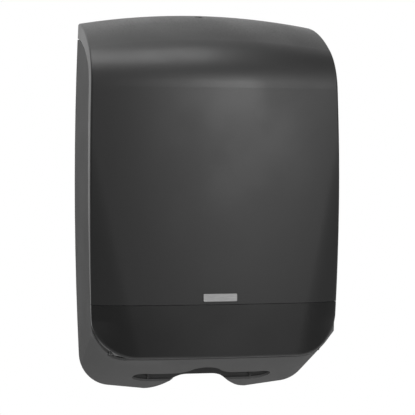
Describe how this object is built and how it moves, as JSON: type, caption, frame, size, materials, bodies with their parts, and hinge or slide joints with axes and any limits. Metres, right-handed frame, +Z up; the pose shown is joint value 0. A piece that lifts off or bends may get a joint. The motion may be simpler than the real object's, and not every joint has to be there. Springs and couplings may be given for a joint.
{
  "type": "paper towel dispenser",
  "caption": "Wall-hung folded paper towel dispenser: grey moulded housing with an outlet mouth underneath, black front cover that swings down on corner hinges, and a key lock on top.",
  "frame": {"origin": "on the wall plane at the centre of the rectangle of wall screw holes, which is the middle of the back plate", "axes": "+X to the right seen from the front, +Y into the wall (the front faces -Y), +Z up"},
  "size_m": [0.26, 0.1269, 0.3999],
  "materials": {
    "housing_grey": "fine moulded grain, satin",
    "cover_black": "fine moulded grain, matte",
    "panel_black": "satin gloss",
    "plate_grey": "smooth satin",
    "throat_dark": "smooth matte",
    "tray_grey": "smooth matte",
    "guide_grey": "smooth satin",
    "hinge_black": "plain acetal",
    "steel": "zinc plated",
    "lock_black": "black lacquer",
    "lock_zinc": "satin nickel plate",
    "lock_brass": "plain turned",
    "buffer_rubber": "matte"
  },
  "bodies": {
    "housing": {"back_housing": "housing_grey", "towel_tray": "tray_grey", "tray_screws": "steel", "outlet_throat": "throat_dark", "hinge_block_left": "hinge_black", "hinge_block_right": "hinge_black", "hinge_pin_left": "steel", "hinge_pin_right": "steel", "lock_keeper": "steel", "keeper_screws": "steel", "cover_buffers": "buffer_rubber"},
    "cover": {"front_cover": "cover_black", "lower_panel": "panel_black", "name_plate": "plate_grey", "hinge_bush_left": "hinge_black", "hinge_bush_right": "hinge_black", "lock_body": "lock_black", "lock_nut": "lock_zinc"},
    "lock": {"lock_barrel": "lock_brass", "lock_cam": "lock_zinc", "cam_screw": "steel"},
    "guide_left": {"towel_guide_left": "guide_grey", "guide_clips_left": "hinge_black"},
    "guide_right": {"towel_guide_right": "guide_grey", "guide_clips_right": "hinge_black"}
  },
  "joints": [
    {"name": "cover_hinge", "type": "hinge", "parent": "housing", "child": "cover", "pos_m": [0, -0.10192, -0.1484], "axis": [1, 0, 0], "range_deg": [0, 90]},
    {"name": "lock_turn", "type": "hinge", "parent": "cover", "child": "lock", "pos_m": [0, -0.022, 0.185], "axis": [0, 0, -1], "range_deg": [0, 90]},
    {"name": "guide_left_slide", "type": "slide", "parent": "housing", "child": "guide_left", "axis": [1, 0, 0], "range_m": [0, 0.016]},
    {"name": "guide_right_slide", "type": "slide", "parent": "housing", "child": "guide_right", "axis": [-1, 0, 0], "range_m": [0, 0.016]}
  ]
}
